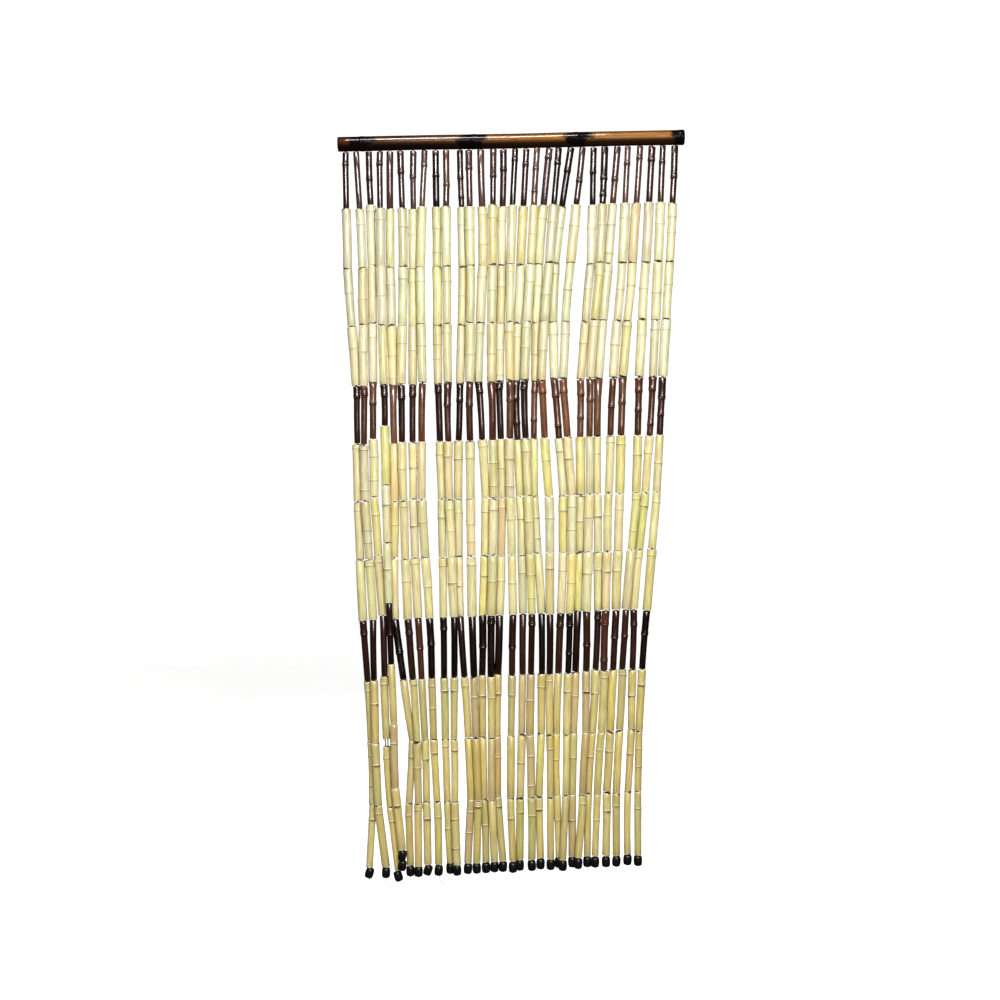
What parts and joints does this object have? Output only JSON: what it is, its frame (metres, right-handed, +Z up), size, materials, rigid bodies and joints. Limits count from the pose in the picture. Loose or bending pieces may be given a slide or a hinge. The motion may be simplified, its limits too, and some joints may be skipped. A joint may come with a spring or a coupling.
{
  "type": "bamboo door curtain on a bamboo hanging pole",
  "caption": "Door curtain of stiff bamboo tubes strung on cords in pale and dark bands, with a barrel bead at each foot, hanging from a scorched bamboo pole.",
  "frame": {"origin": "middle of the hanging pole's axis", "axes": "+Z up, +X along the pole towards its higher right end as seen from the front, front faces -Y"},
  "size_m": [0.9006, 0.0482, 1.9568],
  "materials": {
    "scorched_pole": "glossy scorched bamboo, amber with black burnt bands",
    "natural_bamboo": "satin natural bamboo, cream to straw",
    "dark_bamboo": "satin scorched bamboo, dark brown",
    "black_bead": "satin black-stained wood",
    "cord": "twisted cord"
  },
  "bodies": {
    "root": {"header_pole": "scorched_pole", "strand_01": "natural_bamboo", "strand_02": "natural_bamboo", "strand_03": "natural_bamboo", "strand_04": "natural_bamboo", "strand_05": "natural_bamboo", "strand_06": "natural_bamboo", "strand_07": "natural_bamboo", "strand_08": "natural_bamboo", "strand_09": "natural_bamboo", "strand_10": "natural_bamboo", "strand_11": "natural_bamboo", "strand_12": "natural_bamboo", "strand_13": "natural_bamboo", "strand_14": "natural_bamboo", "strand_15": "natural_bamboo", "strand_16": "natural_bamboo", "strand_17": "natural_bamboo", "strand_18": "natural_bamboo", "strand_19": "natural_bamboo", "strand_20": "natural_bamboo", "strand_21": "natural_bamboo", "strand_22": "natural_bamboo", "strand_23": "natural_bamboo", "strand_24": "natural_bamboo", "strand_25": "natural_bamboo", "strand_26": "natural_bamboo", "strand_27": "natural_bamboo", "strand_28": "natural_bamboo", "strand_29": "natural_bamboo", "strand_30": "natural_bamboo"}
  },
  "joints": []
}
